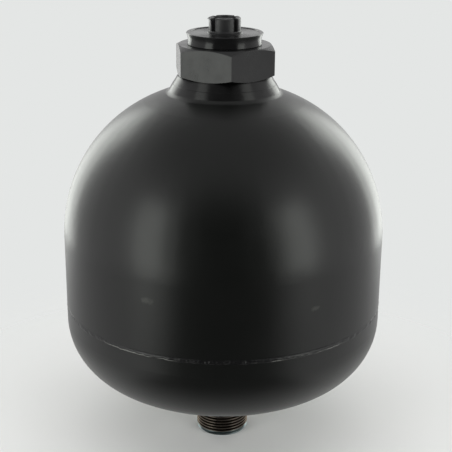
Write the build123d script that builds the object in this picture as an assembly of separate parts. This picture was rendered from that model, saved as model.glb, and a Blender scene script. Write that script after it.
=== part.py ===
from build123d import *

import os
from math import acos, atan2, degrees, hypot, radians, sqrt, tan

# Bladder accumulator: a welded steel vessel that holds a gas-filled rubber bag over an oil port.
# Millimetres, +Z up. The origin is on the vessel's axis, in the end face of the oil port's
# threaded stub, so the vessel stands on that stub. Threads are plain cylinders at their major size.

# Pressure vessel: a straight barrel between two dished ends, each a knuckle arc and a crown arc.
# A knuckle's centre stands off the axis, and a crown's centre lies on it, inside the barrel.
shell_radius = 98.3
shell_wall = 6.0
barrel_length = 54.0
upper_knuckle_offset = 7.7
upper_crown_depth = 15.4
lower_knuckle_offset = 58.7
lower_crown_depth = 92.8
port_end_to_crown = 27.1  # from the stub's end face up to the lower end's crown

# Girth weld between the two halves of the vessel
seam_above_barrel_foot = 10.0
weld_face_width = 2.6
weld_root_width = 1.2
weld_crown = 0.4

# Neck boss in the upper end, and its fillet weld
neck_plug_radius = 30.0
neck_skirt_radius = 33.9  # where the outside taper meets the crown
neck_top_radius = 28.2
neck_rise = 4.5  # boss face above the height that the upper crown would reach
neck_reach_in = 8.0  # boss below the inside of the crown
neck_weld_leg = 1.7  # along the crown, outwards from the skirt
neck_weld_rise = 1.5
neck_weld_hollow = 0.1
neck_edge_break = 0.8

# Bladder stem and the lock nut that pulls it up against the boss
stem_thread_radius = 18.0
stem_gap = 0.3
stem_bore_radius = 7.0
stem_flange_radius = 24.0
stem_flange_thickness = 5.0
nut_across_flats = 55.0
nut_height = 18.5
nut_chamfer_angle = 26.0
nut_face_inset = 0.3  # turned end face inside the flats
nut_turn = 7.2  # swing of one corner past the front

# Valve carrier: the disc on the nut, wider at its top, screwed into the stem
carrier_foot_radius = 21.6
carrier_top_radius = 22.75
carrier_height = 6.9
carrier_land_radius = 10.6
carrier_rim_width = 2.2
carrier_face_recess = 0.5
carrier_spigot_radius = 12.0
carrier_spigot_length = 11.0
carrier_edge_break = 0.4

# Gas valve in the carrier, with its core, pin and cap
valve_thread_radius = 3.85
valve_spigot_radius = 5.0
valve_spigot_length = 16.5
valve_flange_radius = 6.3
valve_flange_thickness = 1.2
valve_stand = 5.4  # valve body above the carrier's face
valve_passage_radius = 1.5
core_radius = 2.55
core_length = 10.0
core_gap = 0.1
core_bore_radius = 1.75
core_guide_length = 2.0
pin_radius = 0.7
pin_collar_radius = 1.5
pin_collar_thickness = 0.8
pin_top_recess = 0.3
pin_tip_length = 1.6  # above the collar
pin_chamber_depth = 2.3  # below the sealing disc, with the stroke
core_top_recess = 2.4
pin_stroke = 1.2
pin_seal_radius = 1.6
pin_seal_thickness = 1.0
pin_spring_wire = 0.36
pin_spring_turns = 6
cap_core_radius = 6.9
cap_lug_radius = 9.4
cap_flange_radius = 9.7
cap_flange_thickness = 1.1
cap_lug_height = 8.7  # lug top above the carrier's face
cap_core_drop = 1.1  # core top below the lug tops
cap_dish_radius = 4.2
cap_dish_depth = 0.6
cap_slot_width = 2.4
cap_bevel = 0.6
cap_lug_count = 4
cap_turn = -3.2  # swing of one lug past the front
cap_seal_thickness = 0.5

# Oil port fitting: threaded stub below, poppet seat inside
port_thread_radius = 16.5
port_thread_length = 19.0
port_chamfer = 1.5
port_relief_depth = 1.6
port_relief_width = 3.0
port_bore_radius = 11.5
port_seat_bore_radius = 10.0
port_flange_radius = 24.0
port_flange_height = 11.0  # above the inside of the lower crown
port_shoulder_height = 26.0  # step in the bore that the guide seats on
port_weld_leg = 5.0
seat_mouth_radius = 15.0

# Poppet that stops the bag from leaving through the port
poppet_lift = 7.0
poppet_rim = 1.6
poppet_dome = 2.6
poppet_stem_radius = 3.0
poppet_seat_clearance = 0.15
poppet_underside_radius = 9.0
guide_height = 6.0
guide_ring_wall = 1.9
guide_hub_radius = 5.2
guide_nose_gap = 0.85  # between the nose and the inside of the spring
guide_nose_height = 2.2
guide_web = 3.0
guide_web_count = 3
ring_thickness = 1.3
ring_groove_depth = 1.0
ring_radial_width = 2.6
ring_opening_angle = 32.0
washer_radius = 5.6
washer_thickness = 1.2
poppet_nut_across_flats = 10.0
poppet_nut_height = 5.0
poppet_nut_chamfer_angle = 30.0
poppet_stem_tail = 1.2
spring_wire = 1.3
spring_radius = 6.1
spring_turns = 5
spring_section_sides = 8  # flats that stand for the round wire, in both springs

# Bladder: moulded rubber bag on the stem, hanging clear of the shell and of the poppet
bladder_wall = 3.0
bladder_side_gap = 13.0
bladder_shoulder_slope = 0.55  # spread for each unit of fall, where the bag leaves its collar
bladder_collar_radius = 27.5
bladder_collar_thickness = 3.0
bladder_above_poppet = 4.0

# Seals
oring_section = 2.4
carrier_oring_section = 1.8
groove_squeeze = 0.05

# Direction of -Y, about Z
front = -90.0

# Clearances
running_gap = 0.05
thread_gap = 0.05
plug_gap = 0.1

# Radii, heights and centres that follow from the sizes above
upper_crown_radius = shell_radius - upper_knuckle_offset + hypot(upper_knuckle_offset, upper_crown_depth)
lower_crown_radius = shell_radius - lower_knuckle_offset + hypot(lower_knuckle_offset, lower_crown_depth)
lower_crown_centre = port_end_to_crown + lower_crown_radius
barrel_foot = lower_crown_centre - lower_crown_depth
barrel_top = barrel_foot + barrel_length
upper_crown_centre = barrel_top - upper_crown_depth
seam = barrel_foot + seam_above_barrel_foot


def upper_face_height(radius, inset):
    """Height of the upper crown at a radius, on a face inset from the outside."""
    return upper_crown_centre + sqrt((upper_crown_radius - inset) ** 2 - radius**2)


def lower_face_height(radius, inset):
    """Height of the lower crown at a radius, on a face inset from the outside."""
    return lower_crown_centre - sqrt((lower_crown_radius - inset) ** 2 - radius**2)


def upper_face_arc(inner_radius, outer_radius):
    """Arc along the outside of the upper crown, inwards from the outer radius."""
    start = degrees(acos(outer_radius / upper_crown_radius))
    end = degrees(acos(inner_radius / upper_crown_radius))
    return CenterArc((0, upper_crown_centre), upper_crown_radius, start, end - start)


def lower_face_arc(inner_radius, outer_radius):
    """Arc along the inside of the lower crown, outwards from the inner radius."""
    inside = lower_crown_radius - shell_wall
    start = -degrees(acos(inner_radius / inside))
    end = -degrees(acos(outer_radius / inside))
    return CenterArc((0, lower_crown_centre), inside, start, end - start)


neck_hole_radius = neck_plug_radius + plug_gap
neck_weld_toe_radius = neck_skirt_radius + neck_weld_leg
neck_face = upper_crown_centre + upper_crown_radius + neck_rise
neck_foot = upper_face_height(neck_plug_radius, shell_wall) - neck_reach_in
neck_bore_radius = stem_thread_radius + stem_gap
flange_top = neck_foot - bladder_collar_thickness
flange_foot = flange_top - stem_flange_thickness
nut_top = neck_face + nut_height
stem_top = nut_top
nut_corner_radius = nut_across_flats / sqrt(3)
carrier_face = nut_top + carrier_height
valve_top = carrier_face + valve_stand
valve_foot = carrier_face - valve_spigot_length
core_top = valve_top - core_top_recess
core_foot = core_top - core_length
pin_top = valve_top - pin_top_recess
pin_collar_foot = pin_top - pin_tip_length - pin_collar_thickness
cap_top = carrier_face + cap_lug_height
cap_core_top = cap_top - cap_core_drop
cap_ceiling = valve_top + cap_seal_thickness

port_hole_radius = port_thread_radius + plug_gap
port_flange_top = lower_face_height(port_hole_radius, shell_wall) + port_flange_height
port_relief_radius = port_thread_radius - port_relief_depth
seat_foot = port_flange_top - (seat_mouth_radius - port_seat_bore_radius)
guide_foot = port_shoulder_height - guide_height
guide_radius = port_bore_radius - running_gap
guide_nose_radius = spring_radius - spring_wire / 2 - guide_nose_gap
poppet_rim_foot = port_flange_top + poppet_lift + poppet_seat_clearance * sqrt(2)
poppet_foot = poppet_rim_foot - (seat_mouth_radius - poppet_underside_radius)
poppet_rim_top = poppet_rim_foot + poppet_rim
washer_top = guide_foot - running_gap
poppet_nut_top = washer_top - washer_thickness
poppet_nut_foot = poppet_nut_top - poppet_nut_height
poppet_tail = poppet_nut_foot - poppet_stem_tail
bladder_foot = poppet_rim_top + poppet_dome + bladder_above_poppet
bladder_radius = shell_radius - shell_wall - bladder_side_gap


def turned(*edges):
    """Solid of revolution about Z from a closed outline drawn as (radius, height)."""
    return revolve(Plane.XZ * make_face(edges), axis=Axis.Z)


def turned_outline(*points):
    """Solid of revolution whose outline is straight from point to point."""
    return turned(Polyline(*points, close=True))


def dished_edges(side, inset, tangent, offset, depth, hole_radius):
    """Knuckle and crown arcs of one face of a dished end; side is 1 for the upper end, -1 for the lower."""
    knuckle_radius = shell_radius - offset - inset
    crown_radius = knuckle_radius + hypot(offset, depth)
    junction = side * degrees(atan2(depth, offset))
    rim = side * degrees(acos(hole_radius / crown_radius))
    knuckle_arc = CenterArc((offset, tangent), knuckle_radius, 0, junction)
    crown_arc = CenterArc((0, tangent - side * depth), crown_radius, junction, rim - junction)
    return knuckle_arc, crown_arc


def half_shell(side, tangent, offset, depth, hole_radius):
    """One drawn half of the vessel, from its bevelled seam to the hole in its crown."""
    outer = dished_edges(side, 0, tangent, offset, depth, hole_radius)
    inner = dished_edges(side, shell_wall, tangent, offset, depth, hole_radius)
    outer_lip = (shell_radius, seam + side * weld_face_width / 2)
    inner_lip = (shell_radius - shell_wall, seam + side * weld_root_width / 2)
    bevel = Polyline(outer[0] @ 0, outer_lip, inner_lip, inner[0] @ 0)
    hole_wall = Line(outer[1] @ 1, inner[1] @ 1)
    return turned(*outer, *inner, bevel, hole_wall)


def upper_shell():
    """Deep drawn upper half with the hole for the neck boss."""
    return half_shell(1, barrel_top, upper_knuckle_offset, upper_crown_depth, neck_hole_radius)


def lower_shell():
    """Shallower lower half with the hole for the oil port fitting."""
    return half_shell(-1, barrel_foot, lower_knuckle_offset, lower_crown_depth, port_hole_radius)


def girth_weld():
    """Butt weld that fills the bevelled seam and stands a little proud inside and out."""
    face_low = (shell_radius, seam - weld_face_width / 2)
    face_high = (shell_radius, seam + weld_face_width / 2)
    root_low = (shell_radius - shell_wall, seam - weld_root_width / 2)
    root_high = (shell_radius - shell_wall, seam + weld_root_width / 2)
    crown_face = ThreePointArc(face_low, (shell_radius + weld_crown, seam), face_high)
    root_face = ThreePointArc(root_high, (shell_radius - shell_wall - weld_crown, seam), root_low)
    return turned(crown_face, Line(face_high, root_high), root_face, Line(root_low, face_low))


def neck_boss():
    """Turned boss through the upper crown: tapered outside, plain plug inside, bored for the stem."""
    skirt = (neck_skirt_radius, upper_face_height(neck_skirt_radius, 0))
    plug_edge = (neck_plug_radius, upper_face_height(neck_plug_radius, 0))
    groove = neck_oring_height()
    groove_radius = stem_thread_radius + oring_section + groove_squeeze
    profile = Polyline(
        plug_edge,
        (neck_plug_radius, neck_foot + neck_edge_break),
        (neck_plug_radius - neck_edge_break, neck_foot),
        (neck_bore_radius, neck_foot),
        (neck_bore_radius, groove - oring_section / 2 - groove_squeeze),
        (groove_radius, groove - oring_section / 2 - groove_squeeze),
        (groove_radius, groove + oring_section / 2 + groove_squeeze),
        (neck_bore_radius, groove + oring_section / 2 + groove_squeeze),
        (neck_bore_radius, neck_face),
        (neck_top_radius, neck_face),
        skirt,
    )
    return turned(upper_face_arc(neck_plug_radius, neck_skirt_radius), profile)


def neck_oring_height():
    """Height of the stem's seal, halfway up the boss."""
    return (neck_foot + neck_face) / 2


def neck_weld():
    """Fillet weld round the foot of the boss, dressed to a slightly hollow face."""
    root = Vector(neck_skirt_radius, upper_face_height(neck_skirt_radius, 0))
    toe = Vector(neck_weld_toe_radius, upper_face_height(neck_weld_toe_radius, 0))
    taper = Vector(neck_top_radius, neck_face) - root
    top = root + taper.normalized() * neck_weld_rise
    chord = toe - top
    hollow = (top + toe) / 2 + Vector(chord.Y, -chord.X).normalized() * neck_weld_hollow
    face_arc = ThreePointArc(top, hollow, toe)
    return turned(face_arc, upper_face_arc(neck_skirt_radius, neck_weld_toe_radius), Line(root, top))


def port_fitting():
    """Oil port: threaded stub, relief and plug below, flange with the conical poppet seat inside."""
    seat_arc = lower_face_arc(port_thread_radius, port_flange_radius)
    relief_top = port_thread_length + port_relief_width
    groove_top = guide_foot
    groove_foot = guide_foot - ring_thickness - 2 * running_gap
    groove_radius = port_bore_radius + ring_groove_depth
    profile = Polyline(
        seat_arc @ 1,
        (port_flange_radius, port_flange_top),
        (seat_mouth_radius, port_flange_top),
        (port_seat_bore_radius, seat_foot),
        (port_seat_bore_radius, port_shoulder_height),
        (port_bore_radius, port_shoulder_height),
        (port_bore_radius, groove_top),
        (groove_radius, groove_top),
        (groove_radius, groove_foot),
        (port_bore_radius, groove_foot),
        (port_bore_radius, 0),
        (port_thread_radius - port_chamfer, 0),
        (port_thread_radius, port_chamfer),
        (port_thread_radius, port_thread_length),
        (port_relief_radius, port_thread_length + port_relief_depth / 2),
        (port_relief_radius, relief_top),
        (port_thread_radius, relief_top + port_relief_depth),
        seat_arc @ 0,
    )
    return turned(seat_arc, profile)


def port_weld():
    """Fillet weld between the port's flange and the inside of the lower crown."""
    toe_radius = port_flange_radius + port_weld_leg
    toe = Vector(toe_radius, lower_face_height(toe_radius, shell_wall))
    root = Vector(port_flange_radius, lower_face_height(port_flange_radius, shell_wall))
    top = root + Vector(0, port_weld_leg)
    return turned(lower_face_arc(port_flange_radius, toe_radius), Line(toe, top), Line(top, root))


def poppet_guide():
    """Guide in the bore: a ring and a nosed hub joined by webs, so that oil passes between them."""
    ring_inner = guide_radius - guide_ring_wall
    ring = turned_outline(
        (ring_inner, guide_foot),
        (guide_radius, guide_foot),
        (guide_radius, port_shoulder_height),
        (ring_inner, port_shoulder_height),
    )
    bore = poppet_stem_radius + running_gap
    hub = turned_outline(
        (bore, guide_foot),
        (guide_hub_radius, guide_foot),
        (guide_hub_radius, port_shoulder_height),
        (guide_nose_radius, port_shoulder_height),
        (guide_nose_radius, port_shoulder_height + guide_nose_height - spring_wire / 2),
        (guide_nose_radius - spring_wire / 2, port_shoulder_height + guide_nose_height),
        (bore, port_shoulder_height + guide_nose_height),
    )
    web_inner = (bore + guide_hub_radius) / 2
    web_outer = guide_radius - guide_ring_wall / 2
    web = Pos((web_inner + web_outer) / 2, 0, guide_foot + guide_height / 2) * Box(
        web_outer - web_inner, guide_web, guide_height
    )
    webs = PolarLocations(0, guide_web_count) * web
    return ring + hub + webs


def guide_retaining_ring():
    """Open snap ring in the groove that keeps the guide up against its step."""
    outer = port_bore_radius + ring_groove_depth - running_gap
    inner = outer - ring_radial_width
    top = guide_foot - running_gap
    foot = top - ring_thickness
    section = make_face(Polyline((inner, foot), (outer, foot), (outer, top), (inner, top), close=True))
    return revolve(Plane.XZ * section, axis=Axis.Z, revolution_arc=360 - ring_opening_angle)


def poppet():
    """Mushroom valve: domed head with a conical seat face, on a stem that runs in the guide."""
    crown = poppet_rim_top + poppet_dome
    dome_radius = (seat_mouth_radius**2 + poppet_dome**2) / (2 * poppet_dome)
    rim_angle = degrees(acos(seat_mouth_radius / dome_radius))
    dome = CenterArc((0, crown - dome_radius), dome_radius, rim_angle, 90 - rim_angle)
    profile = Polyline(
        (0, crown),
        (0, poppet_tail),
        (poppet_stem_radius - running_gap, poppet_tail),
        (poppet_stem_radius, poppet_tail + running_gap),
        (poppet_stem_radius, poppet_foot),
        (poppet_underside_radius, poppet_foot),
        (seat_mouth_radius, poppet_rim_foot),
        (seat_mouth_radius, poppet_rim_top),
    )
    return turned(dome, profile)


def poppet_washer():
    """Stop washer that meets the guide when the poppet is fully open."""
    return turned_outline(
        (poppet_stem_radius + running_gap, poppet_nut_top),
        (washer_radius, poppet_nut_top),
        (washer_radius, washer_top),
        (poppet_stem_radius + running_gap, washer_top),
    )


def hexagon_nut(across_flats, bore_radius, low, high, angle, turn):
    """Bored hexagon between two heights, with its corners turned down at both ends."""
    corner = across_flats / sqrt(3)
    flat = across_flats / 2 - nut_face_inset
    fall = (corner - flat) * tan(radians(angle))
    bar = Pos(0, 0, low) * extrude(Rot(0, 0, turn) * RegularPolygon(corner, 6), high - low)
    turning = turned_outline(
        (bore_radius, low),
        (flat, low),
        (corner, low + fall),
        (corner, high - fall),
        (flat, high),
        (bore_radius, high),
    )
    return bar & turning


def poppet_nut():
    """Self-locking nut on the poppet's stem."""
    bore = poppet_stem_radius + thread_gap
    return hexagon_nut(
        poppet_nut_across_flats, bore, poppet_nut_foot, poppet_nut_top, poppet_nut_chamfer_angle, 0
    )


def coil_spring(radius, wire, turns, low, high):
    """Compression spring with both ends ground flat at the given heights."""
    pitch = (high - low) / turns
    path = Helix(pitch, high - low + pitch, radius, center=(0, 0, low - pitch / 2))
    section = (path ^ 0) * RegularPolygon(wire / 2, spring_section_sides, major_radius=False)
    coil = sweep(section, path, is_frenet=True)
    slab = Pos(0, 0, (low + high) / 2) * Cylinder(radius + wire, high - low)
    return coil & slab


def poppet_spring():
    """Spring that holds the poppet off its seat."""
    return coil_spring(spring_radius, spring_wire, spring_turns, port_shoulder_height, poppet_foot)


def bladder():
    """Rubber bag, open at the stem: a collar over the stem's flange, then a pear-shaped wall."""
    mouth = stem_flange_radius
    collar = bladder_collar_radius
    widest = (bladder_foot + flange_foot) / 2
    tangents = [(bladder_shoulder_slope, -1), (0, -1), (-1, 0)]
    outer = Spline(
        (collar, flange_foot),
        (bladder_radius, widest),
        (0, bladder_foot),
        tangents=tangents,
    )
    inner = Spline(
        (mouth, flange_foot),
        (bladder_radius - bladder_wall, widest),
        (0, bladder_foot + bladder_wall),
        tangents=tangents,
    )
    top = Polyline(
        (collar, flange_foot),
        (collar, neck_foot),
        (neck_bore_radius, neck_foot),
        (neck_bore_radius, flange_top),
        (mouth, flange_top),
        (mouth, flange_foot),
    )
    return turned(outer, top, inner, Line((0, bladder_foot), (0, bladder_foot + bladder_wall)))


def bladder_stem():
    """Threaded steel stem moulded into the bag's neck, bored for the gas."""
    socket_foot = stem_top - carrier_spigot_length - thread_gap
    socket = carrier_spigot_radius + thread_gap
    return turned_outline(
        (stem_bore_radius, flange_foot),
        (stem_flange_radius, flange_foot),
        (stem_flange_radius, flange_top),
        (stem_thread_radius, flange_top),
        (stem_thread_radius, stem_top - thread_gap),
        (socket, stem_top - thread_gap),
        (socket, socket_foot),
        (stem_bore_radius, socket_foot),
    )


def oring(radius, section, height):
    """Round seal ring whose inside radius is given."""
    return turned(CenterArc((radius + section / 2, height), section / 2, 0, 360))


def stem_oring():
    """Seal between the stem and the boss."""
    return oring(stem_thread_radius, oring_section, neck_oring_height())


def lock_nut():
    """Hexagon nut that clamps the bladder stem to the neck boss."""
    bore = stem_thread_radius + thread_gap
    return hexagon_nut(nut_across_flats, bore, neck_face, nut_top, nut_chamfer_angle, front + nut_turn)


def valve_carrier():
    """Turned disc with a raised rim round its face, screwed into the stem to hold the gas valve."""
    spigot_foot = nut_top - carrier_spigot_length
    groove_radius = carrier_spigot_radius - carrier_oring_section - groove_squeeze
    groove = carrier_oring_height()
    half_groove = carrier_oring_section / 2 + groove_squeeze
    recess_outer = carrier_top_radius - carrier_rim_width
    recess = carrier_face - carrier_face_recess
    bore = valve_spigot_radius + thread_gap
    return turned_outline(
        (bore, spigot_foot),
        (carrier_spigot_radius - carrier_edge_break, spigot_foot),
        (carrier_spigot_radius, spigot_foot + carrier_edge_break),
        (carrier_spigot_radius, groove - half_groove),
        (groove_radius, groove - half_groove),
        (groove_radius, groove + half_groove),
        (carrier_spigot_radius, groove + half_groove),
        (carrier_spigot_radius, nut_top),
        (carrier_foot_radius - carrier_edge_break, nut_top),
        (carrier_foot_radius, nut_top + carrier_edge_break),
        (carrier_top_radius, carrier_face - carrier_edge_break),
        (carrier_top_radius - carrier_edge_break, carrier_face),
        (recess_outer, carrier_face),
        (recess_outer - carrier_face_recess, recess),
        (carrier_land_radius + carrier_face_recess, recess),
        (carrier_land_radius, carrier_face),
        (bore, carrier_face),
    )


def carrier_oring_height():
    """Height of the seal on the carrier's spigot."""
    return nut_top - carrier_oring_section - 2 * carrier_edge_break


def carrier_oring():
    """Seal between the carrier and the stem's socket."""
    radius = carrier_spigot_radius - carrier_oring_section
    return oring(radius, carrier_oring_section, carrier_oring_height())


def gas_valve_body():
    """Charging valve: threaded spigot, seating flange and a nipple bored for the valve core."""
    bore = core_radius + core_gap
    chamber_foot = core_foot - pin_seal_thickness - pin_chamber_depth
    return turned_outline(
        (valve_passage_radius, valve_foot),
        (valve_spigot_radius, valve_foot),
        (valve_spigot_radius, carrier_face),
        (valve_flange_radius, carrier_face),
        (valve_flange_radius, carrier_face + valve_flange_thickness),
        (valve_thread_radius, carrier_face + valve_flange_thickness),
        (valve_thread_radius, valve_top - core_gap),
        (valve_thread_radius - core_gap, valve_top),
        (bore, valve_top),
        (bore, chamber_foot),
        (valve_passage_radius, chamber_foot),
    )


def valve_core():
    """Barrel of the valve core, with a guide for the pin at its foot."""
    guide = pin_radius + running_gap
    return turned_outline(
        (guide, core_foot),
        (core_radius, core_foot),
        (core_radius, core_top),
        (core_bore_radius, core_top),
        (core_bore_radius, core_foot + core_guide_length),
        (guide, core_foot + core_guide_length),
    )


def valve_core_seal():
    """Soft sleeve between the core and the valve body."""
    low = core_foot + core_guide_length
    return turned_outline(
        (core_radius, low),
        (core_radius + core_gap, low),
        (core_radius + core_gap, low + core_guide_length),
        (core_radius, low + core_guide_length),
    )


def valve_pin():
    """Spring-loaded pin: tip and collar above, sealing disc under the core."""
    seal_top = core_foot - running_gap
    seal_foot = seal_top - pin_seal_thickness
    return turned_outline(
        (0, seal_foot),
        (pin_seal_radius, seal_foot),
        (pin_seal_radius, seal_top),
        (pin_radius, seal_top),
        (pin_radius, pin_collar_foot),
        (pin_collar_radius, pin_collar_foot),
        (pin_collar_radius, pin_collar_foot + pin_collar_thickness),
        (pin_radius, pin_collar_foot + pin_collar_thickness),
        (pin_radius, pin_top),
        (0, pin_top),
    )


def valve_core_spring():
    """Spring that closes the valve pin."""
    radius = pin_radius + running_gap + pin_spring_wire / 2
    low = core_foot + core_guide_length
    return coil_spring(radius, pin_spring_wire, pin_spring_turns, low, pin_collar_foot)


def valve_cap():
    """Castellated plastic cap: a core with lugs round it on a thin flange, hollow below for the valve."""
    thread = valve_thread_radius + thread_gap
    counterbore = valve_flange_radius + thread_gap
    counterbore_top = carrier_face + valve_flange_thickness + thread_gap
    flange_top_height = carrier_face + cap_flange_thickness
    blank = turned_outline(
        (counterbore, carrier_face),
        (cap_flange_radius, carrier_face),
        (cap_flange_radius, flange_top_height),
        (cap_lug_radius, flange_top_height),
        (cap_lug_radius, cap_top - cap_bevel),
        (cap_lug_radius - cap_bevel, cap_top),
        (cap_core_radius, cap_top),
        (cap_core_radius, cap_core_top),
        (cap_dish_radius + cap_dish_depth, cap_core_top),
        (cap_dish_radius, cap_core_top - cap_dish_depth),
        (0, cap_core_top - cap_dish_depth),
        (0, cap_ceiling),
        (thread, cap_ceiling),
        (thread, counterbore_top),
        (counterbore, counterbore_top),
    )
    half = cap_slot_width / 2
    reach = 2 * cap_lug_radius
    slot_outline = Polyline(
        (0, -half),
        (cap_lug_radius - cap_bevel, -half),
        (reach, -half - (reach - cap_lug_radius + cap_bevel)),
        (reach, half + (reach - cap_lug_radius + cap_bevel)),
        (cap_lug_radius - cap_bevel, half),
        (0, half),
        close=True,
    )
    slot = Pos(0, 0, flange_top_height) * extrude(make_face(slot_outline), cap_lug_height)
    core = Pos(0, 0, flange_top_height + cap_lug_height / 2) * Cylinder(cap_core_radius, 2 * cap_lug_height)
    first_slot = front + cap_turn + 180 / cap_lug_count
    slots = PolarLocations(0, cap_lug_count, start_angle=first_slot) * (slot - core)
    return blank - slots


def cap_seal():
    """Soft disc in the cap's roof, on the rim of the valve body."""
    return Pos(0, 0, valve_top + cap_seal_thickness / 2) * Cylinder(valve_thread_radius, cap_seal_thickness)


pieces = {
    "upper_shell": upper_shell,
    "lower_shell": lower_shell,
    "girth_weld": girth_weld,
    "neck_boss": neck_boss,
    "neck_weld": neck_weld,
    "port_fitting": port_fitting,
    "port_weld": port_weld,
    "poppet_guide": poppet_guide,
    "guide_retaining_ring": guide_retaining_ring,
    "poppet": poppet,
    "poppet_washer": poppet_washer,
    "poppet_nut": poppet_nut,
    "poppet_spring": poppet_spring,
    "bladder": bladder,
    "bladder_stem": bladder_stem,
    "stem_oring": stem_oring,
    "lock_nut": lock_nut,
    "valve_carrier": valve_carrier,
    "carrier_oring": carrier_oring,
    "gas_valve_body": gas_valve_body,
    "valve_core": valve_core,
    "valve_core_seal": valve_core_seal,
    "valve_pin": valve_pin,
    "valve_core_spring": valve_core_spring,
    "valve_cap": valve_cap,
    "cap_seal": cap_seal,
}

os.makedirs("parts", exist_ok=True)
for name, make in pieces.items():
    export_step(make(), f"parts/{name}.step")
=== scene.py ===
from math import atan2, cos, pi, radians, sin, sqrt, tan

import bpy
from mathutils import Matrix, Vector, noise


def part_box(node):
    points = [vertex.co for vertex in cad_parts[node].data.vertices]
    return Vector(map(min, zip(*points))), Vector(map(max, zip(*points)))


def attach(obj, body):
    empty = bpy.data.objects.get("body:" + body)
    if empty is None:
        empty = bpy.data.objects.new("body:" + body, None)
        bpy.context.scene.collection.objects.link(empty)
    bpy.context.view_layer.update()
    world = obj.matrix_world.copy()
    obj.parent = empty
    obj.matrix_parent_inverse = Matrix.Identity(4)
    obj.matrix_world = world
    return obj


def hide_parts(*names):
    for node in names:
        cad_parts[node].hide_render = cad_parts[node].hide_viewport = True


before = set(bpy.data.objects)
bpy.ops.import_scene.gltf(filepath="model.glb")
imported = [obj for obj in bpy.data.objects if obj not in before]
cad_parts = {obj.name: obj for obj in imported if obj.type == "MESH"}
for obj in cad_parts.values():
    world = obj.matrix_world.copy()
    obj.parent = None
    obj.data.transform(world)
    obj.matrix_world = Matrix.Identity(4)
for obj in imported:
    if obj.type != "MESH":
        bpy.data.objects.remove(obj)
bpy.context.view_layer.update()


# Camera: at the height of a person's chest over a low table, looking down at the vessel.
# A long lens keeps the barrel's sides almost parallel, and a slight roll leans the neck to the right.
camera_place = (0.00158, -0.63603, 0.36168)
camera_dip = 0.3362
camera_roll = 0.0078

camera = bpy.data.objects.new("camera", bpy.data.cameras.new("camera"))
camera.data.lens = 86.07
camera.data.sensor_width = 36
camera.data.clip_start = 0.01
tilt = Matrix.Rotation(pi / 2 - camera_dip, 4, "X")
camera.matrix_world = Matrix.Translation(camera_place) @ tilt @ Matrix.Rotation(camera_roll, 4, "Z")
bpy.context.collection.objects.link(camera)
bpy.context.scene.camera = camera


# Vessel: two halves drawn from steel plate, sprayed after welding in satin black enamel.
# The drawn halves keep their solids; this section mixes the enamel and sprays them.


def linear(colour):
    """An sRGB hex colour as linear RGBA."""
    channels = [int(colour[i : i + 2], 16) / 255 for i in (1, 3, 5)]
    return [c / 12.92 if c <= 0.04045 else ((c + 0.055) / 1.055) ** 2.4 for c in channels] + [1]


def new_material(name, colour, metallic, roughness):
    """A material with its main shader's plain values."""
    material = bpy.data.materials.new(name)
    material.use_nodes = True
    shader = material.node_tree.nodes["Principled BSDF"]
    shader.inputs["Base Color"].default_value = linear(colour)
    shader.inputs["Metallic"].default_value = metallic
    shader.inputs["Roughness"].default_value = roughness
    return material


def add_node(material, kind, inputs, feeds=None, **settings):
    """Adds a shader node; a socket takes a value or another node's output, and feeds names a main socket."""
    tree = material.node_tree
    node = tree.nodes.new("ShaderNode" + kind)
    for name, value in settings.items():
        setattr(node, name, value)
    for socket, value in inputs.items():
        if isinstance(value, bpy.types.NodeSocket):
            tree.links.new(value, node.inputs[socket])
        else:
            node.inputs[socket].default_value = value
    outputs = [socket for socket in node.outputs if socket.enabled]
    named = {"TexCoord": "Object", "TexNoise": "Fac"}
    output = node.outputs[named[kind]] if kind in named else outputs[0]
    if feeds:
        tree.links.new(output, tree.nodes["Principled BSDF"].inputs[feeds])
    return output


def split_axes(material, place):
    """The X, Y and Z of a place, as three outputs by name."""
    axes = material.node_tree.nodes.new("ShaderNodeSeparateXYZ")
    material.node_tree.links.new(place, axes.inputs[0])
    return axes.outputs


def coat(node_name, material):
    """Gives a solid of the frame one material all over."""
    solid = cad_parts[node_name]
    solid.data.materials.clear()
    solid.data.materials.append(material)


def scuff(material, place, middle, length, height):
    """How far the paint is scuffed: 1 in the middle of a mark of about this size, 0 outside it."""
    stretch = (1 / length, 1 / length, 1 / height)
    offset = add_node(material, "VectorMath", {0: place, 1: middle}, operation="SUBTRACT")
    offset = add_node(material, "VectorMath", {0: offset, 1: stretch}, operation="MULTIPLY")
    reach = add_node(material, "VectorMath", {0: offset}, operation="LENGTH")
    grain = add_node(material, "TexNoise", {"Vector": place, "Scale": 420.0, "Detail": 3.0})
    reach = add_node(material, "Math", {0: reach, 1: grain}, operation="ADD")
    fade = {"Value": reach, "From Min": 0.7, "From Max": 1.1, "To Min": 1.0, "To Max": 0.0}
    return add_node(material, "MapRange", fade)


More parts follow.
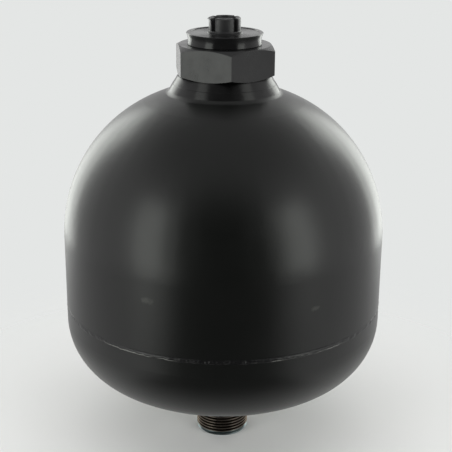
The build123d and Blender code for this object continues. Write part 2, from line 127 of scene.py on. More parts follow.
def satin_black_enamel():
    # Sprayed enamel: orange peel of about 1.5 mm softens every highlight, and dry spray makes it uneven
    enamel = new_material("satin_black_enamel", "#0d0e0d", 0.0, 0.33)
    place = add_node(enamel, "TexCoord", {})
    cloud = add_node(enamel, "TexNoise", {"Vector": place, "Scale": 22.0, "Detail": 5.0, "Roughness": 0.6})
    shades = {0: cloud, 6: linear("#0a0b0a"), 7: linear("#101110")}
    sprayed = add_node(enamel, "Mix", shades, data_type="RGBA")
    long_mark = scuff(enamel, place, (-0.0416, -0.0891, 0.1265), length=0.008, height=0.004)
    short_mark = scuff(enamel, place, (0.0514, -0.0838, 0.1205), length=0.006, height=0.0026)
    marks = add_node(enamel, "Math", {0: long_mark, 1: short_mark}, operation="MAXIMUM")
    add_node(enamel, "Mix", {0: marks, 6: sprayed, 7: linear("#30312e")}, "Base Color", data_type="RGBA")
    add_node(
        enamel,
        "MapRange",
        {"Value": cloud, "From Min": 0.3, "From Max": 0.7, "To Min": 0.31, "To Max": 0.35},
        "Roughness",
    )
    peel = add_node(enamel, "TexNoise", {"Vector": place, "Scale": 650.0, "Detail": 2.0})
    add_node(enamel, "Bump", {"Height": peel, "Strength": 0.3, "Distance": 0.00008}, "Normal")
    return enamel


enamel = satin_black_enamel()
coat("upper_shell", enamel)
coat("lower_shell", enamel)


# Girth weld: one machine-welded bead round the seam between the two halves, painted with them.
# It stands proud at the front's two sides only and is nearly flush elsewhere, with uneven ripples
# about 2 mm apart and ragged toes.
shell_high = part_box("upper_shell")[1]
shell_radius = shell_high.x


def spun(name, outline, segments):
    """Spins an outline of (radius, height) points about the vessel's axis into a closed, smooth piece."""
    bpy.ops.object.select_all(action="DESELECT")
    bpy.ops.mesh.primitive_plane_add(size=0.001)
    piece = bpy.context.object
    piece.name = name
    bpy.ops.object.mode_set(mode="EDIT")
    bpy.ops.mesh.merge(type="CENTER")
    bpy.ops.transform.translate(value=(outline[0][0], 0, outline[0][1]))
    closing = [] if outline[0][0] == outline[-1][0] == 0 else [outline[0]]
    for start, end in zip(outline, outline[1:] + closing):
        step = (end[0] - start[0], 0, end[1] - start[1])
        bpy.ops.mesh.extrude_vertices_move(TRANSFORM_OT_translate={"value": step})
    bpy.ops.mesh.select_all(action="SELECT")
    bpy.ops.mesh.remove_doubles(threshold=1e-7)
    bpy.ops.mesh.spin(steps=segments, angle=2 * pi, axis=(0, 0, 1), center=(0, 0, 0))
    bpy.ops.mesh.select_all(action="SELECT")
    bpy.ops.mesh.remove_doubles(threshold=1e-7)
    bpy.ops.mesh.normals_make_consistent(inside=False)
    bpy.ops.object.mode_set(mode="OBJECT")
    return piece


def smoothed(piece, angle):
    """Smooth shading, but for edges sharper than the angle in degrees."""
    bpy.ops.object.select_all(action="DESELECT")
    piece.select_set(True)
    bpy.context.view_layer.objects.active = piece
    bpy.ops.object.shade_smooth_by_angle(angle=radians(angle))


def fit_for(piece, node_name, material, body="vessel"):
    """Finishes a piece, lets it stand for its node and moves it with its body."""
    piece.data.materials.append(material)
    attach(piece, body)
    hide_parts(node_name)


def girth_bead():
    low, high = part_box("girth_weld")
    seam = (low.z + high.z) / 2
    half_face = (high.z - low.z) / 2
    half_root = 0.0006
    wall = 0.006
    crown = high.x - shell_radius
    toe_lip = 0.0002
    lip_place = 0.8
    lip_width = 0.2
    face = []
    steps = 14
    for i in range(steps + 1):
        across = 2 * i / steps - 1
        bulge = crown * (1 - across**2)
        lip = toe_lip * max(0, 1 - abs(across - lip_place) / lip_width)
        face.append((shell_radius + bulge + lip, seam + across * half_face))
    root = [
        (shell_radius - wall, seam + half_root),
        (shell_radius - wall - crown, seam),
        (shell_radius - wall, seam - half_root),
    ]
    spin_steps = 1440
    bead = spun("girth_weld_bead", face + root, spin_steps)
    ripple_pitch = 0.0021
    ripple_count = round(2 * pi * shell_radius / ripple_pitch)
    ripple_height = 0.00009
    ripple_sweep = 1.6
    wander_height = 0.001
    swell_height = 0.0001
    ragged_height = 0.00016
    flush_share = 0.25
    proud_share = 0.8
    proud_from = 0.12
    right_reach = 0.74
    left_reach = 0.64
    blend = 0.15
    for vertex in bead.data.vertices:
        place = vertex.co
        radius = place.xy.length
        if radius < shell_radius - wall / 2:
            continue
        angle = atan2(place.y, place.x)
        across = (place.z - seam) / half_face
        inside = max(0, 1 - across**2)
        chevron = angle * ripple_count - ripple_sweep * across**2
        aside = abs(cos(angle))
        even = min(1, max(0, (aside - proud_from) / blend))
        reach = right_reach if place.x > 0 else left_reach
        within = min(1, max(0, (reach - aside) / blend))
        proud = flush_share + proud_share * even * within * (place.y < 0)
        ripple = ripple_height * sin(chevron) * inside * (1 - 0.8 * even)
        wander = wander_height * noise.noise(place * 300) * inside * (1 - 0.75 * even)
        swell = swell_height * noise.noise(Vector((cos(angle), sin(angle), 3.0)) * 9)
        place.xy *= (shell_radius + (radius - shell_radius) * proud + ripple + wander) / radius
        place.z += swell + ragged_height * noise.noise(place * 330) * abs(across)
    smoothed(bead, 50)
    return bead


def weld_highlight_enamel():
    # A painted highlight: a ragged, broken light grey line along the front of the bead, where its upper edge
    # catches the light
    low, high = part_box("girth_weld")
    line_height = (low.z + high.z) / 2 + 0.0005
    line_wander = 0.0022
    line_core = 0.0001
    line_edge = 0.0003
    front_edge = -0.068
    front_full = -0.08
    middle_edge = 0.012
    middle_full = 0.027
    highlit_enamel = new_material("weld_highlight_enamel", "#0d0d0e", 0.0, 0.36)
    place = add_node(highlit_enamel, "TexCoord", {})
    axes = split_axes(highlit_enamel, place)
    ragged = add_node(highlit_enamel, "TexNoise", {"Vector": place, "Scale": 260.0, "Detail": 3.0})
    shift = add_node(highlit_enamel, "Math", {0: ragged, 1: line_wander}, operation="MULTIPLY")
    height = add_node(highlit_enamel, "Math", {0: axes["Z"], 1: shift}, operation="ADD")
    off_line = add_node(highlit_enamel, "Math", {0: height, 1: line_height}, operation="SUBTRACT")
    gap = add_node(highlit_enamel, "Math", {0: off_line}, operation="ABSOLUTE")
    fade = {"Value": gap, "From Min": line_core, "From Max": line_edge, "To Min": 1.0, "To Max": 0.0}
    line = add_node(highlit_enamel, "MapRange", fade)
    patchy = add_node(highlit_enamel, "TexNoise", {"Vector": place, "Scale": 60.0, "Detail": 3.0})
    broken_share = add_node(highlit_enamel, "MapRange", {"Value": patchy, "From Min": 0.42, "From Max": 0.56})
    at_front = {"Value": axes["Y"], "From Min": front_edge, "From Max": front_full}
    front = add_node(highlit_enamel, "MapRange", at_front)
    aside = add_node(highlit_enamel, "Math", {0: axes["X"]}, operation="ABSOLUTE")
    sides = add_node(highlit_enamel, "MapRange", {"Value": aside, "From Min": middle_edge, "From Max": middle_full})
    # Painted highlight mask: the line, broken into patches, kept to the front and away from the middle
    highlight_line = line
    for share in (broken_share, front, sides):
        highlight_line = add_node(highlit_enamel, "Math", {0: highlight_line, 1: share}, operation="MULTIPLY")
    # Painted highlight: where the mask is full, the enamel's black turns light grey
    colours = {0: highlight_line, 6: linear("#0d0d0e"), 7: linear("#868782")}
    add_node(highlit_enamel, "Mix", colours, "Base Color", data_type="RGBA")
    return highlit_enamel


fit_for(girth_bead(), "girth_weld", weld_highlight_enamel())


# Neck boss: turned from bar to one long taper, plain below, and bored for the bladder stem.
# The taper was cut in two passes that don't quite meet, and fine tool rings show through the paint.
boss_low, boss_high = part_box("neck_boss")
boss_top = boss_high.z
boss_foot = boss_low.z
boss_radius = boss_high.x
stem_bore = 0.0183
boss_plug_radius = 0.030
boss_top_radius = 0.0282
boss_edge = 0.0008


def turned_steps(start, end, pitch, depth):
    """Points from one (radius, height) place to another, with a shallow tool groove at each pitch."""
    run = Vector(end) - Vector(start)
    count = max(1, int(run.length / pitch))
    inward = Vector((-abs(run.y), 0)).normalized() if abs(run.y) > abs(run.x) else Vector((0, -1))
    points = []
    for i in range(count):
        share = noise.noise(Vector((start[0] * 900, i * 1.7, 0))) * 0.5 + 0.5
        for along, sink in ((0.0, 0), (0.45, depth * share), (0.62, 0)):
            points.append(tuple(Vector(start) + run * (i + along) / count + inward * sink))
    return points


def upper_crown():
    """Height of the centre and radius of the upper end's crown, from the weld toe and the shell's top."""
    toe_low, toe_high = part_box("neck_weld")
    rim_radius = boss_plug_radius + 0.0001
    rim_height = shell_high.z
    toe_radius = toe_high.x
    toe_height = toe_low.z
    rise = rim_height - toe_height
    level = (toe_radius**2 - rim_radius**2 - rise**2) / (2 * rise)
    return toe_height - level, sqrt(toe_radius**2 + level**2)


def neck_boss():
    crown_centre, crown_radius = upper_crown()
    skirt = Vector((boss_radius, crown_centre + sqrt(crown_radius**2 - boss_radius**2)))
    plug_edge = (boss_plug_radius, crown_centre + sqrt(crown_radius**2 - boss_plug_radius**2))
    taper_top = Vector((boss_top_radius, boss_top - boss_edge / 2))
    ledge_share = 0.44
    ledge = taper_top.lerp(skirt, ledge_share)
    ledge_step = Vector((0.00022, -0.0001))
    ledge_foot = ledge + ledge_step
    seal_height = (boss_foot + boss_top) / 2
    seal_half = 0.00125
    seal_radius = stem_bore + 0.00215
    outline = [(boss_top_radius - boss_edge / 2, boss_top)]
    outline += turned_steps(taper_top, ledge, 0.0009, 0.00004)
    outline += [tuple(ledge)]
    outline += turned_steps(ledge_foot, skirt, 0.0011, 0.00004)
    outline += [
        tuple(skirt),
        plug_edge,
        (boss_plug_radius, boss_foot + boss_edge),
        (boss_plug_radius - boss_edge, boss_foot),
        (stem_bore, boss_foot),
        (stem_bore, seal_height - seal_half),
        (seal_radius, seal_height - seal_half),
        (seal_radius, seal_height + seal_half),
        (stem_bore, seal_height + seal_half),
        (stem_bore, boss_top),
    ]
    boss = spun("neck_boss_turned", outline, 192)
    smoothed(boss, 35)
    return boss


def turned_lay(material, strength=0.8):
    """Makes a material's highlights long across the tool rings that run round the vessel's axis."""
    shader = material.node_tree.nodes["Principled BSDF"]
    shader.inputs["Anisotropic"].default_value = strength
    shader.inputs["Anisotropic Rotation"].default_value = 0.25
    add_node(material, "Tangent", {}, "Tangent", direction_type="RADIAL", axis="Z")
    return material


def thin_black_enamel():
    # The same enamel sprayed thinly on a turned face, so that the tool rings show through
    thin = new_material("thin_black_enamel", "#060606", 0.0, 0.3)
    place = add_node(thin, "TexCoord", {})
    flow = add_node(thin, "TexNoise", {"Vector": place, "Scale": 120.0, "Detail": 5.0, "Roughness": 0.7})
    add_node(
        thin,
        "MapRange",
        {"Value": flow, "From Min": 0.3, "From Max": 0.7, "To Min": 0.28, "To Max": 0.4},
        "Roughness",
    )
    add_node(thin, "Bump", {"Height": flow, "Strength": 0.3, "Distance": 0.0003}, "Normal")
    return turned_lay(thin, strength=1.0)


fit_for(neck_boss(), "neck_boss", thin_black_enamel())


# Neck weld: a small fillet run by hand round the boss, dressed back and sprayed over.
# Only a soft swell and a faint ripple are left of it.


def neck_fillet():
    toe_low, toe_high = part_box("neck_weld")
    crown_centre, crown_radius = upper_crown()
    toe_radius = toe_high.x
    skirt_height = crown_centre + sqrt(crown_radius**2 - boss_radius**2)
    share_up = (toe_high.z - skirt_height) / (boss_top - skirt_height)
    top = Vector((boss_radius + (boss_top_radius - boss_radius) * share_up, toe_high.z))
    toe = Vector((toe_radius, toe_low.z))
    chord = toe - top
    out = Vector((-chord.y, chord.x)).normalized()
    hollow_fullness = 0.0008
    ripple_pitch = 0.0026
    ripple_height = 0.00004
    wander_height = 0.0001
    steps = 10
    face = []
    for i in range(steps + 1):
        share = i / steps
        hollow = hollow_fullness * share * (1 - share)
        face.append(tuple(top + chord * share - out * hollow))
    seat = []
    for i in range(1, 5):
        radius = toe_radius + (boss_radius - toe_radius) * i / 4
        seat.append((radius, crown_centre + sqrt(crown_radius**2 - radius**2)))
    fillet = spun("neck_weld_fillet", face + seat, 360)
    ripple_count = round(2 * pi * toe_radius / ripple_pitch)
    for vertex in fillet.data.vertices:
        place = vertex.co
        share = (place.xy.length - top.x) / (toe.x - top.x)
        if not 0.04 < share < 0.999 or place.z < toe.y + (top.y - toe.y) * (0.9 - share):
            continue
        angle = atan2(place.y, place.x)
        swell = ripple_height * sin(angle * ripple_count - 5 * share) * sin(pi * share)
        wander = wander_height * noise.noise(Vector((cos(angle), sin(angle), share)) * 5)
        place.z += swell + wander * sin(pi * share)
    smoothed(fillet, 60)
    return fillet


fit_for(neck_fillet(), "neck_weld", enamel)


# Lock nut: hexagon bar, faced and chamfered at both ends, blackened and oiled.
# Its edges are broken, and its large faces shade flat right up to them.
nut_low, nut_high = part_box("lock_nut")
nut_across_flats = 0.055
nut_corner_radius = nut_across_flats / sqrt(3)
nut_bore = 0.01805
nut_turn = 7.2
nut_chamfer_angle = 26


def blackened_steel(name, shine=0.45):
    # Black oxide under a film of oil: the oil gives the shine, thicker and thinner in soft patches
    steel = new_material(name, "#131314", 0.0, 0.3)
    steel.node_tree.nodes["Principled BSDF"].inputs["Specular IOR Level"].default_value = shine
    place = add_node(steel, "TexCoord", {})
    film = add_node(steel, "TexNoise", {"Vector": place, "Scale": 110.0, "Detail": 6.0, "Roughness": 0.65})
    add_node(
        steel,
        "Mix",
        {0: film, 6: linear("#0d0d0e"), 7: linear("#191919")},
        "Base Color",
        data_type="RGBA",
    )
    add_node(
        steel,
        "MapRange",
        {"Value": film, "From Min": 0.3, "From Max": 0.7, "To Min": 0.17, "To Max": 0.3},
        "Roughness",
    )
    lay = add_node(steel, "TexNoise", {"Vector": place, "Scale": 75.0, "Detail": 4.0})
    add_node(steel, "Bump", {"Height": lay, "Strength": 0.3, "Distance": 0.0003}, "Normal")
    return steel


def keep_common(piece, cutter, operation):
    """Cuts a piece with another closed piece, which is used up."""
    modifier = piece.modifiers.new("cut", "BOOLEAN")
    modifier.operation = operation
    modifier.solver = "EXACT"
    modifier.object = cutter
    bpy.context.view_layer.objects.active = piece
    bpy.ops.object.modifier_apply(modifier="cut")
    bpy.data.objects.remove(cutter)


def bevel_edges(piece, width, angle, segments=2):
    """Breaks every edge sharper than the angle in degrees."""
    modifier = piece.modifiers.new("broken_edges", "BEVEL")
    modifier.width = width
    modifier.segments = segments
    modifier.limit_method = "ANGLE"
    modifier.angle_limit = radians(angle)
    bpy.context.view_layer.objects.active = piece
    bpy.ops.object.modifier_apply(modifier="broken_edges")


def flatten_faces(piece):
    """Keeps the shading of large faces flat right up to their rounded edges."""
    modifier = piece.modifiers.new("flat_faces", "WEIGHTED_NORMAL")
    modifier.keep_sharp = True
    bpy.context.view_layer.objects.active = piece
    bpy.ops.object.modifier_apply(modifier="flat_faces")


def lock_nut():
    washer_face_inset = 0.0003
    edge_width = 0.0009
    flat = nut_across_flats / 2 - washer_face_inset
    fall = (nut_corner_radius - flat) * tan(radians(nut_chamfer_angle))
    turning = spun(
        "nut_turning",
        [
            (nut_bore, nut_low.z),
            (flat, nut_low.z),
            (nut_corner_radius, nut_low.z + fall),
            (nut_corner_radius, nut_high.z - fall),
            (flat, nut_high.z),
            (nut_bore, nut_high.z),
        ],
        144,
    )
    bpy.ops.object.select_all(action="DESELECT")
    bpy.ops.mesh.primitive_cylinder_add(
        vertices=6,
        radius=nut_corner_radius,
        depth=nut_high.z - nut_low.z + 0.002,
        location=(0, 0, (nut_high.z + nut_low.z) / 2),
        rotation=(0, 0, radians(nut_turn)),
    )
    nut = bpy.context.object
    nut.name = "lock_nut_hexagon"
    bpy.ops.object.transform_apply(location=True, rotation=True, scale=True)
    keep_common(nut, turning, "INTERSECT")
    bevel_edges(nut, edge_width, 24)
    smoothed(nut, 30)
    flatten_faces(nut)
    return nut


fit_for(lock_nut(), "lock_nut", blackened_steel("blackened_steel"))


# Valve carrier: a turned disc with a raised rim round its recessed face and a shallow waist below.
# The face was cut in one pass, so it shows the tool's rings.
carrier_low, carrier_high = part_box("valve_carrier")


def valve_carrier():
    face = carrier_high.z
    top_radius = carrier_high.x
    foot_radius = 0.0220
    waist_depth = 0.0006
    waist_steps = 10
    edge = 0.0003
    rim_width = 0.0022
    recess = 0.0003
    land = 0.0106
    bore = 0.00505
    spigot = 0.012
    groove_height = nut_high.z - 0.0026
    groove_half = 0.00095
    groove_radius = 0.01015
    rim_inner = top_radius - rim_width
    outline = [
        (bore, carrier_low.z),
        (spigot - edge, carrier_low.z),
        (spigot, carrier_low.z + edge),
        (spigot, groove_height - groove_half),
        (groove_radius, groove_height - groove_half),
        (groove_radius, groove_height + groove_half),
        (spigot, groove_height + groove_half),
        (spigot, nut_high.z),
        (foot_radius - edge, nut_high.z),
    ]
    for i in range(waist_steps + 1):
        share = i / waist_steps
        radius = foot_radius + (top_radius - foot_radius) * share - waist_depth * sin(pi * share)
        outline.append((radius, nut_high.z + edge + (face - nut_high.z - 2 * edge) * share))
    outline += [(top_radius - edge, face), (rim_inner, face), (rim_inner - recess, face - recess)]
    recess_outer = (rim_inner - recess, face - recess)
    recess_inner = (land + recess, face - recess)
    outline += turned_steps(recess_outer, recess_inner, 0.0011, 0.00004)
    outline += [recess_inner, (land, face), (bore, face)]
    carrier = spun("valve_carrier_disc", outline, 192)
    smoothed(carrier, 35)
    return carrier


turned_black = turned_lay(blackened_steel("turned_blackened_steel", shine=0.36))
fit_for(valve_carrier(), "valve_carrier", turned_black)


# Valve cap: moulded in black nylon, with four lugs for a spanner round a dished core and a slot with
# a flared mouth between each two lugs.
# One lug has been struck, so that its outer top edge is turned outwards.


def black_nylon():
    # Glass-filled nylon: semi-gloss where it left the tool, with a faint flow pattern
    nylon = new_material("black_nylon", "#232324", 0.0, 0.3)
    place = add_node(nylon, "TexCoord", {})
    flow = add_node(nylon, "TexNoise", {"Vector": place, "Scale": 400.0, "Detail": 3.0})
    add_node(
        nylon,
        "MapRange",
        {"Value": flow, "From Min": 0.3, "From Max": 0.7, "To Min": 0.36, "To Max": 0.5},
        "Roughness",
    )
    add_node(nylon, "Bump", {"Height": flow, "Strength": 0.2, "Distance": 0.00005}, "Normal")
    return nylon


def valve_cap():
    low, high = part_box("valve_cap")
    flange_radius = high.x
    lug_radius = 0.0094
    core_radius = 0.0069
    flange_top = low.z + 0.0011
    core_top = high.z - 0.0011
    bevel = 0.0006
    thread = 0.0039
    counterbore = 0.00635
    counterbore_top = low.z + 0.00125
    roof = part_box("cap_seal")[1].z
    dish_radius = 0.0042
    dish_depth = 0.0006
    slot_width = 0.0027
    slot_length = 0.0058
    slot_outset = 0.0015
    slot_mouth = 0.0027
    cutter_lift = 0.001
    lug_count = 4
    cap_turn = -1.5
    struck_lip = 0.0008
    struck_half_angle = 38
    struck_inner = core_radius + 0.001
    blank = spun(
        "valve_cap_moulding",
        [
            (0, roof),
            (thread, roof),
            (thread, counterbore_top),
            (counterbore, counterbore_top),
            (counterbore, low.z),
            (flange_radius, low.z),
            (flange_radius, flange_top - 0.0003),
            (flange_radius - 0.0003, flange_top),
            (lug_radius, flange_top),
            (lug_radius, high.z - bevel),
            (lug_radius - bevel, high.z),
            (core_radius, high.z),
            (core_radius, core_top),
            (dish_radius + dish_depth, core_top),
            (dish_radius, core_top - dish_depth),
            (0, core_top - dish_depth),
        ],
        96,
    )
    for i in range(lug_count):
        turn = radians(-90 + cap_turn + 360 / lug_count * (i + 0.5))
        middle = (core_radius + flange_radius) / 2 + slot_outset
        for reach, skew, length, width in (
            (middle, 0, slot_length, slot_width),
            (lug_radius, pi / 4, slot_mouth, slot_mouth),
        ):
            bpy.ops.object.select_all(action="DESELECT")
            bpy.ops.mesh.primitive_cube_add(
                size=1,
                location=(reach * cos(turn), reach * sin(turn), (flange_top + high.z) / 2 + cutter_lift),
                rotation=(0, 0, turn + skew),
                scale=(length, width, high.z - flange_top + 2 * cutter_lift),
            )
            cutter = bpy.context.object
            bpy.ops.object.transform_apply(location=True, rotation=True, scale=True)
            keep_common(blank, cutter, "DIFFERENCE")
    bevel_edges(blank, 0.0005, 35, 3)
    for vertex in blank.data.vertices:
        place = vertex.co
        off_left = abs(atan2(place.y, -place.x) - radians(cap_turn))
        on_lug = place.z > high.z - bevel and place.xy.length > struck_inner
        if on_lug and off_left < radians(struck_half_angle):
            place.x -= struck_lip * (place.xy.length - core_radius) / (lug_radius - core_radius)
            place.z -= struck_lip / 3
    smoothed(blank, 35)
    return blank


nylon = black_nylon()
fit_for(valve_cap(), "valve_cap", nylon)


# Oil port: turned from bar and blackened, with an M33 x 2 thread cut on its stub.
# Inside are the bore, the snap ring's groove and the poppet's seat.
thread_pitch = 0.002
thread_depth = 0.6134 * thread_pitch
port_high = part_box("port_fitting")[1]


def oiled_steel():
    # Turned steel under old oil: the crests are rubbed light, the grooves hold brown oil, the end is wiped
    groove_radius = 0.0159
    crest_radius = 0.01648
    wiped_below = 0.0028
    oily_above = 0.0034
    steel = new_material("oiled_steel", "#332b26", 1.0, 0.28)
    steel.node_tree.nodes["Principled BSDF"].inputs["Specular Tint"].default_value = linear("#262c2e")
    place = add_node(steel, "TexCoord", {})
    film = add_node(steel, "TexNoise", {"Vector": place, "Scale": 240.0, "Detail": 4.0, "Roughness": 0.6})
    patchy = add_node(steel, "Mix", {0: film, 6: linear("#1c1713"), 7: linear("#2c2621")}, data_type="RGBA")
    level = add_node(steel, "VectorMath", {0: place, 1: (1, 1, 0)}, operation="MULTIPLY")
    radius = add_node(steel, "VectorMath", {0: level}, operation="LENGTH")
    up_the_flank = {"Value": radius, "From Min": groove_radius, "From Max": crest_radius}
    crest = add_node(steel, "MapRange", up_the_flank)
    worn = add_node(steel, "Mix", {0: crest, 6: patchy, 7: linear("#8a8178")}, data_type="RGBA")
    height = split_axes(steel, place)["Z"]
    fade = {"Value": height, "From Min": wiped_below, "From Max": oily_above, "To Min": 1.0, "To Max": 0.0}
    wiped = add_node(steel, "MapRange", fade)
    add_node(steel, "Mix", {0: wiped, 6: worn, 7: linear("#7f8a8c")}, "Base Color", data_type="RGBA")
    add_node(
        steel,
        "MapRange",
        {"Value": film, "From Min": 0.3, "From Max": 0.7, "To Min": 0.26, "To Max": 0.36},
        "Roughness",
    )
    return steel


def port_fitting():
    major = 0.0165
    thread_length = 0.019
    chamfer = 0.0015
    relief_depth = 0.0016
    relief_width = 0.003
    bore = 0.0115
    seat_bore = 0.010
    seat_mouth = 0.015
    groove_depth = 0.001
    shoulder = 0.026
    flange = port_high.x
    flange_chamfer_foot = 0.03405
    flange_foot = 0.0351
    relief_top = thread_length + relief_width
    groove_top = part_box("poppet_guide")[0].z
    groove_foot = groove_top - 0.0014
    ring_step = thread_pitch / 16
    rings = round(thread_length / ring_step)
    seat_foot = port_high.z - (seat_mouth - seat_bore)
    outline = [(bore, 0), (major - chamfer, 0)]
    outline += [(major, ring_step * i) for i in range(1, rings + 1)]
    outline += [
        (major - relief_depth, thread_length + relief_depth / 2),
        (major - relief_depth, relief_top),
        (major, relief_top + relief_depth),
        (major, flange_chamfer_foot),
        (flange, flange_foot),
        (flange, port_high.z),
        (seat_mouth, port_high.z),
        (seat_bore, seat_foot),
        (seat_bore, shoulder),
        (bore, shoulder),
        (bore, groove_top),
        (bore + groove_depth, groove_top),
        (bore + groove_depth, groove_foot),
        (bore, groove_foot),
    ]
    fitting = spun("port_fitting_threaded", outline, 160)
    on_major = 1e-5
    for vertex in fitting.data.vertices:
        place = vertex.co
        radius = place.xy.length
        if abs(radius - major) > on_major or place.z > thread_length:
            continue
        turn = atan2(place.y, place.x) / (2 * pi)
        depth = thread_depth * (0.5 - 0.5 * cos(2 * pi * (place.z / thread_pitch - turn)))
        end = major - chamfer + place.z
        place.xy *= min(major - depth, end) / radius
    smoothed(fitting, 42)
    return fitting


oiled = oiled_steel()
fit_for(port_fitting(), "port_fitting", oiled)


# Inner pieces: these keep their solids, each in the material of its kind.
# They are seen only through the port or when the vessel is taken apart.
coat("port_weld", oiled)


def turned_steel():
    # Bright turned steel: fine rings round the axis stretch each highlight
    steel = new_material("turned_steel", "#9a9a98", 1.0, 0.28)
    place = add_node(steel, "TexCoord", {})
    rings = add_node(steel, "TexNoise", {"Vector": place, "Scale": 900.0, "Detail": 2.0})
    add_node(
        steel,
        "MapRange",
        {"Value": rings, "From Min": 0.3, "From Max": 0.7, "To Min": 0.22, "To Max": 0.36},
        "Roughness",
    )
    return steel


def moulded_rubber():
    # Nitrile rubber: matt black with a slight bloom
    rubber = new_material("nitrile_rubber", "#1d1d1e", 0.0, 0.65)
    place = add_node(rubber, "TexCoord", {})
    bloom = add_node(rubber, "TexNoise", {"Vector": place, "Scale": 60.0, "Detail": 4.0})
    add_node(
        rubber,
        "Mix",
        {0: bloom, 6: linear("#18181a"), 7: linear("#29292b")},
        "Base Color",
        data_type="RGBA",
    )
    return rubber


def machined_brass():
    # Free-cutting brass, dulled a little by handling
    brass = new_material("machined_brass", "#c9a35a", 1.0, 0.3)
    place = add_node(brass, "TexCoord", {})
    dull = add_node(brass, "TexNoise", {"Vector": place, "Scale": 500.0, "Detail": 3.0})
    add_node(
        brass,
        "Mix",
        {0: dull, 6: linear("#b28d48"), 7: linear("#d2ae66")},
        "Base Color",
        data_type="RGBA",
    )
    return brass


def seal_plastic():
    # White fluorocarbon, slightly waxy
    plastic = new_material("white_fluorocarbon", "#dcdad2", 0.0, 0.45)
    place = add_node(plastic, "TexCoord", {})
    wax = add_node(plastic, "TexNoise", {"Vector": place, "Scale": 700.0, "Detail": 2.0})
    add_node(
        plastic,
        "MapRange",
        {"Value": wax, "From Min": 0.3, "From Max": 0.7, "To Min": 0.4, "To Max": 0.55},
        "Roughness",
    )
    return plastic


bright = turned_steel()
rubber = moulded_rubber()
brass = machined_brass()
plastic = seal_plastic()
for node_name in (
    "poppet_guide",
    "guide_retaining_ring",
    "poppet",
    "poppet_washer",
    "poppet_nut",
    "poppet_spring",
    "bladder_stem",
    "valve_core_spring",
):
    coat(node_name, bright)
for node_name in ("bladder", "stem_oring", "carrier_oring"):
    coat(node_name, rubber)
for node_name in ("gas_valve_body", "valve_core", "valve_pin"):
    coat(node_name, brass)
for node_name in ("valve_core_seal", "cap_seal"):
    coat(node_name, plastic)


# Stage: a white table top in a pale room, between two soft boxes beside the camera and two behind.
# An overhead light and two bounce cards light the table without showing in the paint, and a black
# card in front of the vessel shows in the paint only.
table_reach = 0.3


def white_table():
    # Matt white laminate; its far edge fades into the pale room, so that no line crosses the picture
    laminate = new_material("matt_white_laminate", "#f2f2f1", 0.0, 0.85)
    place = add_node(laminate, "TexCoord", {})
    distance = add_node(laminate, "VectorMath", {0: place}, operation="LENGTH")
    fade_start = 0.3 * table_reach
    fade = {"Value": distance, "From Min": fade_start, "From Max": table_reach, "To Min": 1.0, "To Max": 0.0}
    add_node(laminate, "MapRange", fade, "Alpha", interpolation_type="SMOOTHSTEP")
    return laminate


bpy.ops.object.select_all(action="DESELECT")
bpy.ops.mesh.primitive_circle_add(vertices=96, radius=table_reach, fill_type="NGON")
table = bpy.context.object
table.name = "table_top"
table.data.materials.append(white_table())


def black_flocking():
    # Black flock on thin card; it fades out towards the vessel, so that its reflection has a soft edge
    bare_edge = -0.04
    full_edge = -0.18
    flock = new_material("black_flocking", "#2c2c2c", 0.0, 1.0)
    depth = split_axes(flock, add_node(flock, "TexCoord", {}))["Y"]
    fade = {"Value": depth, "From Min": bare_edge, "From Max": full_edge}
    add_node(flock, "MapRange", fade, "Alpha", interpolation_type="SMOOTHSTEP")
    return flock


def black_flag():
    """Black card just above the table, before the vessel: the camera sees it only as a reflection."""
    card_width = 0.25
    card_length = 0.48
    card_middle = -0.28
    card_lift = 0.001
    bpy.ops.object.select_all(action="DESELECT")
    bpy.ops.mesh.primitive_plane_add(size=1)
    bpy.ops.object.mode_set(mode="EDIT")
    bpy.ops.transform.resize(value=(card_width, card_length, 1))
    bpy.ops.transform.translate(value=(0, card_middle, card_lift))
    bpy.ops.object.mode_set(mode="OBJECT")
    card = bpy.context.object
    card.name = "black_flag"
    card.data.materials.append(black_flocking())
    card.visible_camera = False
    card.visible_diffuse = False
    card.visible_shadow = False


black_flag()

light_distance = 1.9


def area_light(name, width, height, radiance):
    """Rectangular light that the camera doesn't see, with its radiance on a scale where white is 1."""
    lamp = bpy.data.lights.new(name, "AREA")
    lamp.shape = "RECTANGLE"
    lamp.size = width
    lamp.size_y = height
    lamp.energy = radiance * pi * lamp.size * lamp.size_y
    light = bpy.data.objects.new(name, lamp)
    light.visible_camera = False
    bpy.context.collection.objects.link(light)
    return light


def beside(azimuth, height):
    """A place at the lights' distance from the vessel; azimuth in degrees from the camera's side."""
    turn = radians(azimuth)
    return (light_distance * sin(turn), -light_distance * cos(turn), height)


def soft_box(name, azimuth, width, low, high, radiance, lean=0):
    """Upright light that shows in the paint as a band; its white is faintly green."""
    box = area_light(name, width, high - low, radiance)
    box.data.color = linear("#f8fcf6")[:3]
    box.location = beside(azimuth, (low + high) / 2)
    box.rotation_euler = (pi / 2, radians(lean), radians(azimuth))


soft_box("soft_box_left", -50.5, 0.78, -0.54, 1.3, 2.45, -6)
soft_box("soft_box_right", 52.5, 0.78, -0.36, 1.3, 2.2)
soft_box("soft_box_left_behind", -142, 0.9, -0.5, 1.4, 2.8)
soft_box("soft_box_right_behind", 143, 0.9, -0.5, 1.4, 2.8)


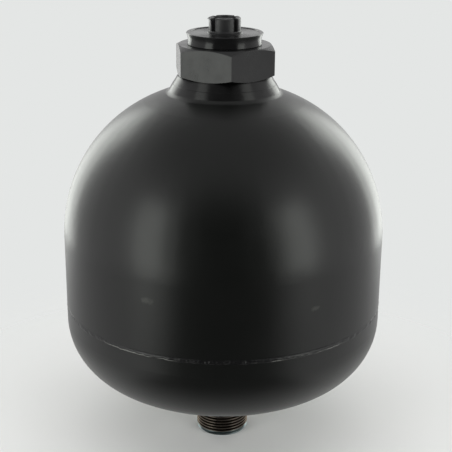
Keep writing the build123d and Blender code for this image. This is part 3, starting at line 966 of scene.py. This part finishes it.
def overhead_light():
    """Large soft light over the table; it isn't mirrored in the paint."""
    light = area_light("overhead_light", 2.4, 1.2, 1.35)
    light.location = (0, 0, 1.6)
    light.visible_glossy = False


overhead_light()


def bounce_card(name, azimuth):
    """Light tipped down at the table from the front; it lights the table but isn't mirrored in the paint."""
    card_height = 0.75
    card_tip = 0.38
    card = area_light(name, 1.2, 0.8, 3.6)
    card.location = beside(azimuth, card_height)
    card.rotation_euler = (pi / 2 - card_tip, 0, radians(azimuth))
    card.visible_glossy = False


bounce_card("bounce_card_left", -48)
bounce_card("bounce_card_right", 48)


def room_range(world, value, from_range, to_range=(0.0, 1.0), **settings):
    """A value of the world's shader, carried from one range to another."""
    inputs = {"Value": value, "From Min": from_range[0], "From Max": from_range[1]}
    inputs.update({"To Min": to_range[0], "To Max": to_range[1]})
    return add_node(world, "MapRange", inputs, **settings)


def studio_room():
    """World that is pale to the camera; a mirror sees it dark in front, pale behind, dim above and below."""
    world = bpy.data.worlds.new("studio_room")
    world.use_nodes = True
    nodes = world.node_tree.nodes
    axes = split_axes(world, nodes.new("ShaderNodeTexCoord").outputs["Generated"])
    behind = room_range(world, axes["Y"], (-0.85, -0.35), interpolation_type="SMOOTHSTEP")
    above = room_range(world, axes["Z"], (0.5, 0.95), (0.8, 0.35), interpolation_type="SMOOTHSTEP")
    below = room_range(world, axes["Z"], (-0.44, -0.29), (0.6, 1.0))
    glow = add_node(world, "Math", {0: behind, 1: above}, operation="MULTIPLY")
    mirrored = add_node(world, "Math", {0: glow, 1: below}, operation="MULTIPLY")
    ray = nodes.new("ShaderNodeLightPath").outputs
    lighting = {0: ray["Is Glossy Ray"], 6: (0.3, 0.3, 0.3, 1), 7: mirrored}
    unseen = add_node(world, "Mix", lighting, data_type="RGBA")
    shown = {0: ray["Is Camera Ray"], 6: unseen, 7: linear("#e4e6e5")}
    seen = add_node(world, "Mix", shown, data_type="RGBA")
    world.node_tree.links.new(seen, nodes["Background"].inputs["Color"])
    return world


bpy.context.scene.world = studio_room()

bpy.context.scene.view_settings.view_transform = "Standard"
